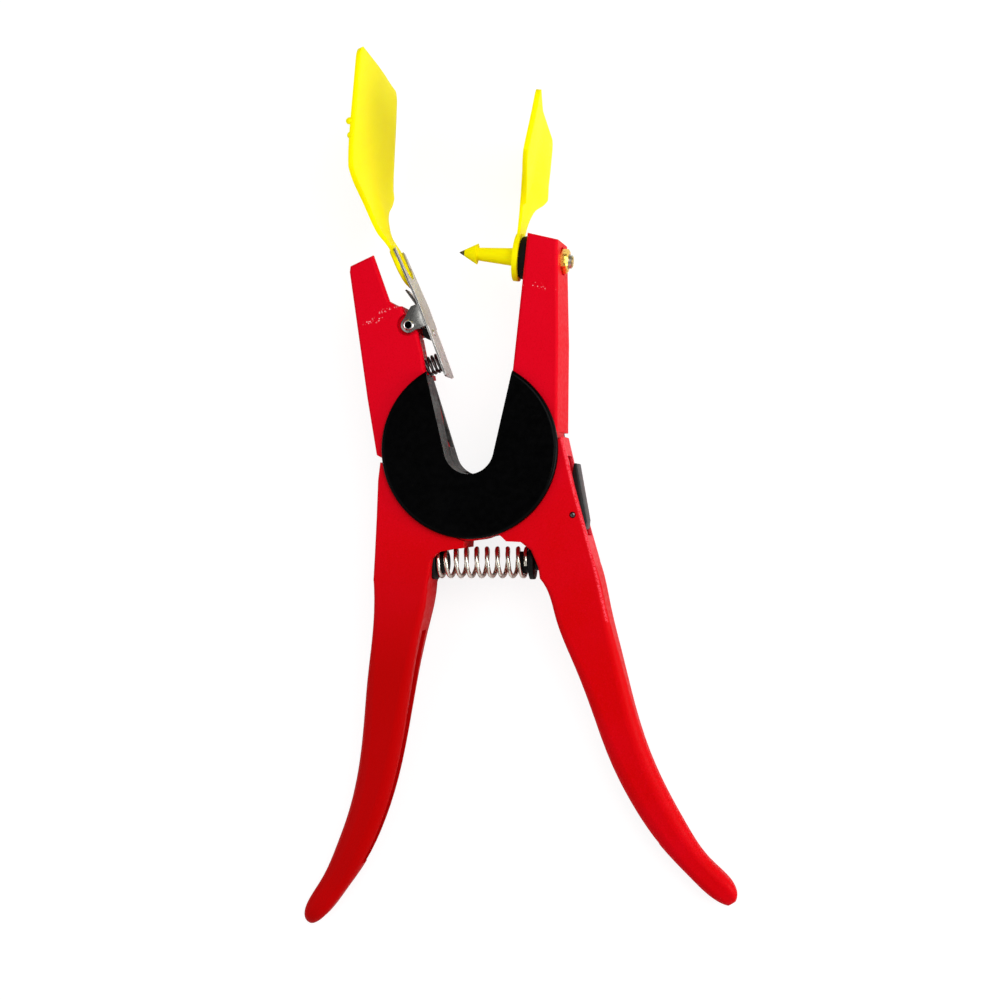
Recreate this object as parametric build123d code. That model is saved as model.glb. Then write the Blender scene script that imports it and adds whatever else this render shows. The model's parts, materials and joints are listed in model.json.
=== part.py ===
from build123d import *
import os
from math import atan2, cos, degrees, hypot, radians, sin, sqrt, tan

# Ear tag applicator. Tool frame: X across, Y towards the tags, Z along the pivot, front face up.
# Millimetres and degrees. The pivot is the origin, and the tool is fully open.

# Castings
half_depth = 10.0
edge_round = 1.2
round_from = 25.0
lap_gap = 0.1
past = 1.0
root_radius = 6.0
block_root = (0.0, -6.0)
hub_radius = 13.3
hub_clearance = 0.3
wing_radius = 19.5
wing_sweep = 37.0
wing_side_relief = 1.0
wing_end_relief = 1.5
left_stop_angle = 147.6
right_stop_angle = 31.6
left_stop_gap = 2.7
right_stop_gap = 1.1

# Jaw outlines, from the stop corner outwards round the head to the throat
left_jaw_outer = [(-34.4, 21.83), (-36.1, 43.0), (-38.8, 91.2)]
left_jaw_head = [(-38.3, 93.3), (-29.2, 96.4)]
left_jaw_inner = [(-24.5, 78.6), (-22.2, 76.5), (-19.8, 76.2), (-19.5, 74.3), (-14.9, 65.6),
                  (-13.6, 58.2), (-13.2, 50.7)]
left_jaw_root = [(-11.0, 26.0), (-5.0, 9.0)]
right_jaw_outer = [(34.1, 22.0), (37.6, 57.4), (40.7, 94.3)]
right_jaw_head_top = (29.7, 98.1)
right_jaw_throat = (19.6, 47.4)
right_jaw_root = [(10.0, 20.0), (6.0, 9.0)]
head_undercut = 4.0
inner_undercut = 2.0
jaw_flare = 1.6
jaw_flare_top = 1.0
jaw_flare_foot = 0.06
side_bite = 3.0
stud_slot_width = 11.0
stud_slot_depth = 6.5
stud_slot_bottom = 82.0

# Handles: (outer point, inner point, depth, corner radius) from the hub down to the tip
right_handle_top = [(36.0, 22.15), (38.6, 4.0), (41.4, -12.0)]
right_handle_crotch = [(22.9, -25.0), (20.8, -18.6), (17.1, -15.2), (11.9, -14.5), (10.2, -12.5)]
right_handle = [((43.9, -25.0), (23.1, -29.3), 20.0, 1.2),
                ((46.6, -42.0), (27.6, -44.8), 19.0, 2.2),
                ((49.6, -60.0), (32.7, -62.6), 17.0, 3.2),
                ((52.7, -78.0), (37.7, -80.8), 15.0, 4.0),
                ((56.4, -94.2), (42.4, -98.3), 13.6, 4.4),
                ((61.7, -109.5), (49.0, -114.9), 12.6, 4.6),
                ((68.4, -124.5), (57.7, -130.1), 11.6, 4.2),
                ((76.4, -137.8), (68.1, -143.0), 10.0, 3.2),
                ((84.3, -148.8), (77.4, -152.2), 8.0, 2.6)]
right_tip_reach = 3.0
left_handle_top = [(-33.3, 18.9), (-34.7, 12.4), (-36.6, -2.5), (-38.4, -15.5)]
left_handle_crotch = [(-18.0, -24.0), (-16.8, -18.7), (-14.0, -16.3), (-8.2, -15.7), (-4.3, -15.7),
                      (-3.9, -13.0)]
left_handle = [((-39.8, -25.0), (-19.2, -27.8), 20.0, 1.2),
               ((-41.9, -43.0), (-24.0, -45.4), 19.0, 2.2),
               ((-46.0, -61.0), (-29.2, -63.2), 17.0, 3.2),
               ((-49.6, -79.0), (-33.9, -81.8), 15.0, 4.0),
               ((-53.7, -96.8), (-39.3, -100.2), 13.6, 4.4),
               ((-59.0, -112.1), (-46.0, -116.8), 12.6, 4.6),
               ((-65.3, -125.5), (-54.6, -131.6), 11.6, 4.2),
               ((-72.0, -137.1), (-63.6, -142.4), 10.0, 3.0),
               ((-79.7, -150.6), (-75.7, -153.3), 7.0, 1.8)]
left_tip_reach = 1.4
handle_step = 0.06
tip_shrink = 0.45
groove_width = 7.0
groove_depth = 3.5

# Pivot
bolt_radius = 4.0
bolt_head_radius = 7.4
bolt_head_height = 4.6
bolt_seat_depth = 5.0
bush_radius = 6.0
nut_across_flats = 13.0
nut_height = 4.2
nut_seat_depth = 5.6
pivot_washer_thickness = 1.2
turning_clearance = 0.04
push_clearance = 0.05
loose_clearance = 0.3

# Horseshoe covers
cover_radius = 33.2
cover_centre = (-0.6, 20.6)
cover_thickness = 2.4
cover_turn = -5.0
cover_round = 1.5
cover_peg_radius = 1.5
cover_peg_length = 4.0
cover_peg_clearance = 0.1
cover_peg_shortfall = 0.2
cover_peg_margin = 5.2
cover_peg_angles = (155.0, -28.0)
front_skirt_top = 48.0
throat_radius = 9.4
throat_centre = (-0.5, 20.8)
throat_half_angle = 13.0
throat_top = 60.0
lever_throat_top = 48.8
rear_throat_turn = 4.5
cover_margin = 0.4
lever_margin = 0.5
skirt_thickness = 1.6
skirt_gap = 0.15
skirt_end_gap = 0.3
rear_skirt_top = 22.0

# Return spring
spring_left = (-18.4, -20.2)
spring_right = (20.6, -23.3)
spring_radius = 5.3
spring_wire = 1.4
spring_turns = 9
seat_radius = 6.4
seat_flange = 2.0
seat_peg_radius = 4.1
seat_peg_length = 4.0
seat_stem_radius = 3.0
seat_stem_length = 6.0

# Applicator pin with the male tag
pin_height = 43.5
pin_radius = 1.4
pin_thread_radius = 2.5
nut_flats = 8.0
pin_nut_height = 3.6
nut_spot_radius = 5.2
nut_spot_depth = 0.7
pin_end = 1.2
washer_radius = 8.6
washer_thickness = 1.9
button_radius = 8.9
male_button_thickness = 3.2
stud_length = 14.6
stud_root_radius = 3.4
stud_neck_radius = 2.4
stud_head_radius = 3.9
stud_head_length = 4.9
stud_flat_radius = 0.9
stud_land = 0.4
point_length = 2.0
point_shoulder = 0.35
point_end_radius = 0.15
male_panel_top = 54.8
male_panel_half_width = 33.0
male_shoulder = 31.6
male_panel_bend = 3.3
male_turn = 5.0
male_twist = 4.5
male_bend_start = 0.9
panel_thickness = 1.8
panel_corner = 4.0
neck_half_width = 7.6
neck_flare = 4.5
neck_flare_start = 12.0

# Clip with the female tag
clip_lean = 19.0
clip_bend = 3.5
clip_reference = (-13.75, 76.77)
plate_thickness = 0.8
plate_top = 23.3
plate_bottom = -29.0
plate_half_width = 8.8
plate_low_half_width = 7.2
plate_corner = 1.5
fork_half_width = 6.0
button_height = 16.9
clip_pin_along = -6.3
clip_pin_out = 6.3
clip_pin_radius = 1.2
clip_pin_head_radius = 1.7
clip_pin_head = 0.6
ear_thickness = 1.2
ear_radius = 2.9
ear_top = -0.1
ear_bottom = -8.9
ear_top_out = 3.0
ear_bottom_out = 4.7
ear_pocket_radius = 4.2
ear_gap = 0.3
ear_side = 2.7
ear_side_out = 7.3
tongue_length = 7.6
tongue_out = 3.3
tongue_thickness = 0.7
tongue_half_width = 3.0
pad_along = -11.1
pad_height = 3.4
pad_out = 2.3
pad_half_width = 6.0
pad_round = 0.5
rivet_radius = 0.9
rivet_head_radius = 1.5
rivet_head = 0.5
clip_spring_along = -22.4
clip_spring_radius = 3.3
clip_spring_wire = 0.8
clip_spring_turns = 4
clip_spring_length = 8.4
clip_spring_pocket = 4.3
female_hole_radius = 5.4
female_boss_radius = 7.4
female_boss_length = 1.0
female_button_thickness = 2.5
female_panel_top = 72.4
female_panel_half_width = 33.0
female_shoulder = 34.0
female_bend_start = 27.0
female_bend = 22.8
female_neck_offset = 1.2
female_twist = 1.3
female_neck_rise = 13.0
female_bend_middle = (49.0, 9.8)

# Lock lever on the right handle
lock_pin_place = (37.3, -6.9)
lock_pin_radius = 1.2
lock_half_width = 6.0
lock_side_clearance = 0.25
lock_tip = (39.0, 12.0)
lock_proud = 1.0
lock_heel = (41.2, -13.0)
lock_slot_floor = (31.6, -15.0)
lock_slot_top = 15.0
lock_round = 0.5
lock_back = [(34.7, -5.9), (35.1, -9.6)]
lock_heel_top = (41.9, -9.5)

# Lying pose: the lower corner of the male tag and both handle tips touch the ground
lying_pitch = 6.51
lying_roll = 0.239


standing = (Align.CENTER, Align.CENTER, Align.MIN)
full = (-half_depth - past, half_depth + past)
reach = 40.0


def polygon(points):
    return make_face(Polyline(*points, close=True))


def plate(points, low, high):
    return Pos(0, 0, low) * extrude(polygon(points), high - low)


def disc(radius, low, high, centre=(0, 0)):
    return Pos(centre[0], centre[1], low) * Cylinder(radius, high - low, align=standing)


def polar(radius, angle):
    return (radius * cos(radians(angle)), radius * sin(radians(angle)))


def sector(radius, start, stop, low, high):
    arc = ThreePointArc(polar(radius, start), polar(radius, (start + stop) / 2), polar(radius, stop))
    sides = [Line((0, 0), polar(radius, start)), Line(polar(radius, stop), (0, 0))]
    return Pos(0, 0, low) * extrude(make_face([sides[0], arc, sides[1]]), high - low)


def round_outline(body, skip_line=None):
    """Round the front and rear outline edges that lie away from the hub and from a joined end."""
    picked = []
    for edge in body.edges():
        centre = edge.center()
        flat = abs(abs(centre.Z) - half_depth) < 0.01
        on_end = skip_line is not None and abs(skip_line(centre)) < 0.2
        if flat and hypot(centre.X, centre.Y) > round_from and not on_end:
            picked.append(edge)
    return fillet(picked, edge_round)


# Throat shared by both covers and both castings
def throat_points(offset, height):
    radius = throat_radius + offset
    lean = radians(throat_half_angle)
    side = (radius * cos(lean), throat_centre[1] - radius * sin(lean))
    top = side[0] + (height - side[1]) * tan(lean)
    middle = throat_centre[0]
    return ((middle - top, height), (middle - side[0], side[1]), (middle, throat_centre[1] - radius),
            (middle + side[0], side[1]), (middle + top, height))


def throat(offset, low, high, height=throat_top, turn=cover_turn):
    left_top, left, bottom, right, right_top = throat_points(offset, height)
    edges = [Line(left_top, left), ThreePointArc(left, bottom, right), Line(right, right_top),
             Line(right_top, left_top)]
    return Rot(0, 0, turn) * Pos(0, 0, low) * extrude(make_face(edges), high - low)


def rear_throat(offset, low, high, height=throat_top):
    """The throat with its left side opened further, as the rear cover has it."""
    middle = throat_centre[1]
    opened = Pos(0, middle, 0) * Rot(0, 0, rear_throat_turn) * Pos(0, -middle, 0)
    return throat(offset, low, high, height) + opened * throat(offset, low, high, height)


# Handle: a loft through rounded rectangles, closed by a small domed end
def handle_sections(stations, side, tip_reach=0.0):
    sections = []
    for outer, inner, depth, corner in stations:
        width = hypot(outer[0] - inner[0], outer[1] - inner[1])
        across = ((outer[0] - inner[0]) / width, (outer[1] - inner[1]) / width)
        middle = ((outer[0] + inner[0]) / 2, (outer[1] + inner[1]) / 2)
        along = (side * across[1], -side * across[0])
        sections.append((middle, across, along, width, depth, corner))
    middle, across, along, width, depth, corner = sections[-1]
    tip = (middle[0] + along[0] * tip_reach, middle[1] + along[1] * tip_reach)
    sections.append((tip, across, along, width * tip_shrink, depth * tip_shrink, corner * tip_shrink))
    return sections


def handle(stations, side, tip_reach):
    faces = []
    for middle, across, along, width, depth, corner in handle_sections(stations, side, tip_reach):
        step = 0 if faces else 2 * handle_step
        where = Plane(origin=(middle[0], middle[1], 0), x_dir=(across[0], across[1], 0),
                      z_dir=(along[0], along[1], 0))
        faces.append(where * RectangleRounded(width - step, depth - step, corner))
    return loft(faces)


def groove(stations, side):
    outside = []
    inside = []
    for middle, across, along, width, depth, corner in handle_sections(stations[1:7], side)[:-1]:
        inner = (middle[0] - across[0] * width / 2, middle[1] - across[1] * width / 2)
        outside.append((inner[0] - across[0] * groove_depth, inner[1] - across[1] * groove_depth))
        inside.append((inner[0] + across[0] * groove_depth, inner[1] + across[1] * groove_depth))
    edges = [Spline(*outside), Line(outside[-1], inside[-1]), Spline(*inside[::-1]),
             Line(inside[0], outside[0])]
    return Pos(0, 0, -groove_width / 2) * extrude(make_face(edges), groove_width)


def end_line(station):
    """Signed distance from the line where a handle's loft meets its top block."""
    outer, inner = station[0], station[1]
    run = (outer[0] - inner[0], outer[1] - inner[1])
    width = hypot(*run)
    return lambda p: ((p.X - inner[0]) * run[1] - (p.Y - inner[1]) * run[0]) / width


# Frames of the two tag carriers
right_jaw_lean = degrees(atan2(right_jaw_head_top[0] - right_jaw_throat[0],
                               right_jaw_head_top[1] - right_jaw_throat[1]))
pin_place = (right_jaw_throat[0] + pin_height * sin(radians(right_jaw_lean)),
             right_jaw_throat[1] + pin_height * cos(radians(right_jaw_lean)))
# In a carrier frame X runs up the tag, Y runs to the left out of its face, Z stays up
pin_frame = Pos(pin_place[0], pin_place[1], 0) * Rot(0, 0, 90 - right_jaw_lean)
clip_frame = Pos(clip_reference[0], clip_reference[1], 0) * Rot(0, 0, 90 + clip_lean)
clip_low_frame = clip_frame * Rot(0, 0, -clip_bend)


def across_frame(radius, low, high, along=0.0, level=0.0):
    """Cylinder along the Y axis of a carrier frame."""
    return Pos(along, low, level) * Rot(-90, 0, 0) * Cylinder(radius, high - low, align=standing)


def spring_frame():
    length = hypot(spring_right[0] - spring_left[0], spring_right[1] - spring_left[1])
    angle = degrees(atan2(spring_right[1] - spring_left[1], spring_right[0] - spring_left[0]))
    return Pos(spring_left[0], spring_left[1], 0) * Rot(0, 0, angle) * Rot(0, 90, 0), length


def coil(radius, wire, turns, length):
    """Helical spring along +Z from 0 to length."""
    run = length - wire
    path = Pos(0, 0, wire / 2) * Helix(pitch=run / turns, height=run, radius=radius)
    section = Plane(origin=path @ 0, z_dir=path % 0) * Circle(wire / 2)
    return sweep(section, path=path, is_frenet=True)


# Castings
def seat_holes():
    place, length = spring_frame()
    stems = disc(seat_stem_radius, -seat_stem_length, length + seat_stem_length)
    return place * (stems + disc(seat_radius + loose_clearance, 0, length))


def ear_pocket():
    """Recess beside each face of the left jaw, where the clip's ears swing."""
    centre = Pos(clip_pin_along, clip_pin_out, 0) * Cylinder(ear_pocket_radius, full[1] - full[0])
    run = Pos(clip_pin_along - ear_pocket_radius, clip_pin_out, full[0]) * Box(
        2 * ear_pocket_radius + ear_radius, 2 * clip_pin_out, full[1] - full[0],
        align=(Align.MIN, Align.MAX, Align.MIN))
    core = Box(2 * reach, 2 * reach, 2 * (plate_half_width - ear_thickness - ear_gap))
    return clip_low_frame * ((centre + run) - core)


def side_wedge(start, end, first, last):
    """Solid along the right side of an outline. Each profile is (out from the side, level) points."""
    run = hypot(end[0] - start[0], end[1] - start[1])
    ahead = ((end[0] - start[0]) / run, (end[1] - start[1]) / run)
    frame = Plane(origin=(start[0], start[1], 0), x_dir=(ahead[1], -ahead[0], 0),
                  z_dir=(-ahead[0], -ahead[1], 0))
    faces = [frame * polygon(first), frame * Pos(0, 0, -run) * polygon(last)]
    return loft(faces, ruled=True)


def flare(width):
    """Profile of a side that stands further out towards the rear."""
    rear = -half_depth
    high = half_depth - edge_round
    return [(0, high), (width, rear + edge_round), (width - edge_round, rear), (-side_bite, rear),
            (-side_bite, high)]


def undercut(width):
    """Profile that takes a side back towards the rear."""
    high = half_depth - 2 * edge_round
    return [(0, high), (-width, full[0]), (reach, full[0]), (reach, high)]


def stud_slot():
    """Channel in the left jaw's head that takes the stud when the tool closes."""
    head = left_jaw_head[-1]
    lower = left_jaw_inner[0]
    lean = degrees(atan2(lower[0] - head[0], head[1] - lower[1]))
    run = head[1] + stud_slot_depth - stud_slot_bottom
    cutter = Box(2 * stud_slot_depth, run, stud_slot_width, align=(Align.CENTER, Align.MAX, Align.CENTER))
    return Pos(head[0], head[1], 0) * Rot(0, 0, lean) * Pos(0, stud_slot_depth, 0) * cutter


def lock_slot():
    wide = lock_half_width + lock_side_clearance
    floor_x, low_y = lock_slot_floor
    outside = 2 * reach
    return plate([(floor_x, low_y), (outside, low_y), (outside, lock_slot_top), (floor_x, lock_slot_top)],
                 -wide, wide)


def lapped(body, stop_angle, sweep, low, high):
    """Swap one half of the hub for a round lap and its wing, between the levels low and high."""
    cut_low = -lap_gap / 2 if high < 0 else full[0]
    cut_high = full[1] if high < 0 else lap_gap / 2
    turn = 1 if sweep > 0 else -1
    other_stop = right_stop_angle if sweep > 0 else left_stop_angle
    other_end = other_stop - turn * (wing_sweep + wing_end_relief)
    body -= disc(hub_radius + hub_clearance, cut_low, cut_high)
    body -= sector(wing_radius + hub_clearance, other_stop + turn * wing_side_relief, other_end,
                   cut_low, cut_high)
    body += disc(hub_radius, low, high)
    return body + sector(wing_radius, stop_angle, stop_angle + sweep, low, high)


def female_jaw_lever():
    """Left jaw and right handle in one casting."""
    jaw = left_jaw_outer + left_jaw_head + left_jaw_inner + left_jaw_root
    jaw += [polar(root_radius, left_stop_angle)]
    body = round_outline(plate(jaw, -half_depth, half_depth))
    block = right_handle_top + list(right_handle[0][:2]) + right_handle_crotch
    block += [block_root, polar(root_radius, right_stop_angle)]
    body += round_outline(plate(block, -half_depth, half_depth), end_line(right_handle[0]))
    body = lapped(body, left_stop_angle, wing_sweep, lap_gap / 2, half_depth)
    body += handle(right_handle, 1, right_tip_reach)
    body -= groove(right_handle, 1)
    body -= throat(skirt_thickness + skirt_gap, lap_gap / 2 - past, full[1], lever_throat_top)
    body -= throat(cover_margin, *full, lever_throat_top)
    body -= rear_throat(cover_margin, full[0], 0, lever_throat_top)
    low_side = Pos(0, rear_skirt_top + skirt_gap - reach, 0) * Box(2 * reach, 2 * reach, 2 * reach)
    body -= throat(skirt_thickness + skirt_gap, full[0], 0) & (Rot(0, 0, cover_turn) * low_side)
    body -= disc(bush_radius, -half_depth, half_depth)
    body -= disc(bolt_head_radius + loose_clearance, half_depth - bolt_seat_depth, full[1])
    body -= seat_holes()
    body -= ear_pocket()
    body -= clip_low_frame * Pos(clip_pin_along, clip_pin_out, 0) * Cylinder(
        clip_pin_radius + turning_clearance, full[1] - full[0])
    pocket_floor = plate_thickness / 2 + clip_spring_length
    pocket = across_frame(clip_spring_pocket, plate_thickness, pocket_floor, clip_spring_along)
    body -= clip_low_frame * pocket
    body -= stud_slot()
    head_cut = undercut(head_undercut)
    body -= side_wedge(left_jaw_inner[0], left_jaw_head[-1], head_cut, head_cut)
    inner_cut = undercut(inner_undercut)
    body -= side_wedge(left_jaw_inner[-1], left_jaw_inner[4], inner_cut, inner_cut)
    peg_holes = peg_set(cover_peg_radius + cover_peg_clearance, half_depth - cover_peg_length, full[1])
    body -= peg_holes + mirror(peg_holes, about=Plane.XY)
    body -= lock_slot()
    return body - disc(lock_pin_radius, -half_depth, half_depth, lock_pin_place)


def male_jaw_lever():
    """Right jaw and left handle in one casting."""
    jaw_stop = right_stop_angle + right_stop_gap
    jaw = [polar(hypot(*right_jaw_outer[0]), jaw_stop)] + right_jaw_outer[1:] + [right_jaw_head_top]
    jaw += [right_jaw_throat] + right_jaw_root + [polar(root_radius, jaw_stop)]
    body = round_outline(plate(jaw, -half_depth, half_depth))
    body += side_wedge(right_jaw_outer[1], right_jaw_outer[2], flare(jaw_flare), flare(jaw_flare_top))
    foot = [low + jaw_flare_foot * (high - low) for low, high in zip(jaw[0], right_jaw_outer[1])]
    body += side_wedge(foot, right_jaw_outer[1], flare(jaw_flare), flare(jaw_flare))
    block = left_handle_top + list(left_handle[0][:2]) + left_handle_crotch
    block += [block_root, polar(root_radius, left_stop_angle + left_stop_gap)]
    body += round_outline(plate(block, -half_depth, half_depth), end_line(left_handle[0]))
    body = lapped(body, jaw_stop, -wing_sweep, -half_depth, -lap_gap / 2)
    body += handle(left_handle, -1, left_tip_reach)
    body -= groove(left_handle, -1)
    body -= throat(lever_margin, *full, lever_throat_top)
    skirt_side = disc(hub_radius + hub_clearance, full[0], 0)
    body -= throat(skirt_thickness + loose_clearance, full[0], 0) & skirt_side
    body -= disc(bush_radius + turning_clearance, -half_depth, half_depth)
    body -= disc(bolt_head_radius + lever_margin, full[0], -half_depth + nut_seat_depth)
    body -= seat_holes()
    body -= pin_frame * across_frame(pin_thread_radius + push_clearance, -reach, past)
    return body - pin_frame * across_frame(nut_spot_radius, -reach, -jaw_thickness_at_pin())


# Covers
def peg_set(radius, low, high):
    """Both pegs of the front cover, or their holes."""
    run = cover_radius - cover_peg_margin
    made = [disc(radius, low, high, polar(run, angle)) for angle in cover_peg_angles]
    return Rot(0, 0, cover_turn) * Pos(cover_centre[0], cover_centre[1], 0) * (made[0] + made[1])


def cover_body():
    low = half_depth + lap_gap
    ring = disc(cover_radius, low, low + cover_thickness, cover_centre)
    ring = fillet(ring.edges().group_by(Axis.Z)[-1], cover_round)
    return Rot(0, 0, cover_turn) * ring - throat(0, 0, 2 * half_depth)


def skirt(low, high, top):
    """Wall along the left side and the bottom of the throat."""
    wall = throat(skirt_thickness, low, high) - throat(0, low - past, high + past)
    window = [(-reach, top), (-reach, 0), (throat_centre[0], 0), (throat_centre[0], top)]
    inside = Rot(0, 0, cover_turn) * disc(cover_radius - cover_round, low, high, cover_centre)
    return wall & (Rot(0, 0, cover_turn) * plate(window, low, high)) & inside


def pegs():
    return peg_set(cover_peg_radius, half_depth - cover_peg_length + cover_peg_shortfall, half_depth + past)


def front_cover():
    return cover_body() + skirt(skirt_end_gap, half_depth + past, front_skirt_top) + pegs()


def rear_cover():
    wall = skirt(skirt_end_gap, half_depth + past, rear_skirt_top)
    wall -= disc(hub_radius + hub_clearance, 0, half_depth + lap_gap)
    body = cover_body() - rear_throat(0, 0, 2 * half_depth) + wall + pegs()
    return mirror(body, about=Plane.XY)


# Pivot
def hexagon(across_flats, low, high):
    return Pos(0, 0, low) * extrude(RegularPolygon(across_flats / sqrt(3), 6), high - low)


def pivot_bush():
    high = half_depth - bolt_seat_depth
    low = -half_depth + nut_seat_depth
    return disc(bush_radius, low, high) - disc(bolt_radius + turning_clearance, low - past, high + past)


def pivot_bolt():
    seat = half_depth - bolt_seat_depth
    head = disc(bolt_head_radius, seat, seat + bolt_head_height)
    head -= hexagon(bolt_head_radius, seat + bolt_head_height / 2, half_depth)
    end = -half_depth + nut_seat_depth - pivot_washer_thickness - nut_height
    return head + disc(bolt_radius, end, seat)


def pivot_washer():
    high = -half_depth + nut_seat_depth
    low = high - pivot_washer_thickness
    return disc(bolt_head_radius, low, high) - disc(bolt_radius + turning_clearance, low - past, high + past)


def pivot_nut():
    high = -half_depth + nut_seat_depth - pivot_washer_thickness
    low = high - nut_height
    return hexagon(nut_across_flats, low, high) - disc(bolt_radius, low - past, high + past)


# Return spring and its seats
def return_spring():
    place, length = spring_frame()
    run = length - 2 * seat_flange
    return place * Pos(0, 0, seat_flange) * coil(spring_radius, spring_wire, spring_turns, run)


def spring_seat():
    seat = disc(seat_radius, 0, seat_flange) + disc(seat_stem_radius, loose_clearance - seat_stem_length, 0)
    return seat + disc(seat_peg_radius, seat_flange, seat_flange + seat_peg_length)


def spring_seat_left():
    place, length = spring_frame()
    return place * spring_seat()


def spring_seat_right():
    place, length = spring_frame()
    return place * Pos(0, 0, length) * Rot(180, 0, 0) * spring_seat()


# Applicator pin, its washer and nut
def jaw_thickness_at_pin():
    low, high = right_jaw_outer[1], right_jaw_outer[2]
    slope = (high[0] - low[0]) / (high[1] - low[1])
    angle = radians(right_jaw_lean)
    through = (low[0] + (pin_place[1] - low[1]) * slope - pin_place[0]) / (cos(angle) + slope * sin(angle))
    return through - nut_spot_depth


def applicator_pin():
    stud_back = washer_thickness + male_button_thickness
    tip = stud_back + stud_length + stud_head_length
    back = -jaw_thickness_at_pin() - pin_nut_height - pin_end
    shank = across_frame(pin_thread_radius, back, 0)
    return pin_frame * (shank + across_frame(pin_radius, 0, tip - point_length))


def pin_nut():
    back = -jaw_thickness_at_pin()
    hex_body = Rot(-90, 0, 0) * extrude(RegularPolygon(nut_flats / sqrt(3), 6), pin_nut_height)
    nut = Pos(0, back - pin_nut_height, 0) * hex_body
    return pin_frame * (nut - across_frame(pin_thread_radius, back - reach, back + past))


def pin_washer():
    hole = across_frame(pin_radius + push_clearance, -past, washer_thickness + past)
    return pin_frame * (across_frame(washer_radius, 0, washer_thickness) - hole)


# Tags
def panel_outline(top, half_width, shoulder, corner):
    """Face of a tag in its own plane: X runs up the tag and Y across it."""
    neck = neck_half_width
    side = Spline((button_radius, neck), (shoulder - neck_flare_start, neck + neck_flare),
                  (shoulder, half_width), tangents=[(1, 0), (1, 1)])
    edges = [Line((0, 0), (0, neck)), Line((0, neck), (button_radius, neck)), side,
             Line((shoulder, half_width), (top, half_width)), Line((top, half_width), (top, 0)),
             Line((top, 0), (0, 0))]
    blade = make_face(edges)
    blade = blade + mirror(blade, about=Plane.XZ)
    ends = [v for v in blade.vertices() if abs(v.X - top) < 0.01]
    return fillet(ends, corner)


def bent_strip(points, thickness, half_width):
    """Sheet that follows a curve in the XY plane of a carrier frame."""
    front = [(x, y + thickness / 2) for x, y in points]
    back = [(x, y - thickness / 2) for x, y in points]
    rise = (points[-1][1] - points[-2][1]) / (points[-1][0] - points[-2][0])
    bends = [Spline(*side[1:], tangents=[(1, 0), (1, rise)]) for side in (front, back)]
    starts = [Line(front[0], front[1]), Line(back[0], back[1])]
    ends = [Line(front[0], back[0]), Line(front[-1], back[-1])]
    return Pos(0, 0, -half_width) * extrude(make_face(bends + starts + ends), 2 * half_width)


def tag_blade(outline, strip, turn, twist, level):
    prism = Pos(0, reach, 0) * Rot(90, 0, 0) * extrude(outline, 2 * reach)
    return Pos(0, level, 0) * Rot(twist, 0, 0) * Rot(0, turn, 0) * Pos(0, -level, 0) * (prism & strip)


def male_tag():
    base = washer_thickness + male_button_thickness / 2
    far = base - male_panel_bend
    curve = [(-button_radius - past, base), (button_radius, base), (male_shoulder, base - male_bend_start),
             (male_panel_top, far)]
    outline = panel_outline(male_panel_top, male_panel_half_width, male_shoulder, panel_corner)
    blade = tag_blade(outline, bent_strip(curve, panel_thickness, reach), male_turn, male_twist, base)
    blade -= across_frame(button_radius, -reach, washer_thickness)
    face = washer_thickness + male_button_thickness
    button = across_frame(button_radius, washer_thickness, face)
    stud = Pos(0, face, 0) * Rot(-90, 0, 0) * Cone(
        stud_root_radius, stud_neck_radius, stud_length, align=standing)
    head = Pos(0, face + stud_length, 0) * Rot(-90, 0, 0) * Cone(
        stud_head_radius, stud_flat_radius + stud_land, stud_head_length, align=standing)
    end = face + stud_length + stud_head_length
    bore = across_frame(pin_radius + push_clearance, 0, end - point_length)
    point_bore = across_frame(stud_flat_radius, face + stud_length, end + past)
    return pin_frame * ((blade + button + stud + head) - bore - point_bore)


def male_tag_point():
    start = washer_thickness + male_button_thickness + stud_length + stud_head_length
    shank = across_frame(stud_flat_radius, start - point_length, start)
    cone = Pos(0, start, 0) * Rot(-90, 0, 0) * Cone(
        stud_flat_radius + point_shoulder, point_end_radius, point_length, align=standing)
    return pin_frame * (shank + cone)


def female_tag():
    base = plate_thickness / 2 + female_button_thickness / 2
    x0 = button_height
    curve = [(x0 - button_radius - past, base), (x0 + button_radius / 2, base),
             (x0 + female_neck_rise, base + female_neck_offset), (x0 + female_bend_start, base),
             (x0 + female_bend_middle[0], base - female_bend_middle[1]),
             (x0 + female_panel_top, base - female_bend)]
    outline = Pos(x0, 0, 0) * panel_outline(female_panel_top, female_panel_half_width, female_shoulder,
                                            panel_corner)
    blade = tag_blade(outline, bent_strip(curve, panel_thickness, reach), 0, female_twist, base)
    low = plate_thickness / 2
    face = low + female_button_thickness
    body = blade + across_frame(button_radius, low, face, x0)
    body += across_frame(female_boss_radius, face, face + female_boss_length, x0)
    return clip_frame * (body - across_frame(female_hole_radius, -reach, reach, x0))


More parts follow.
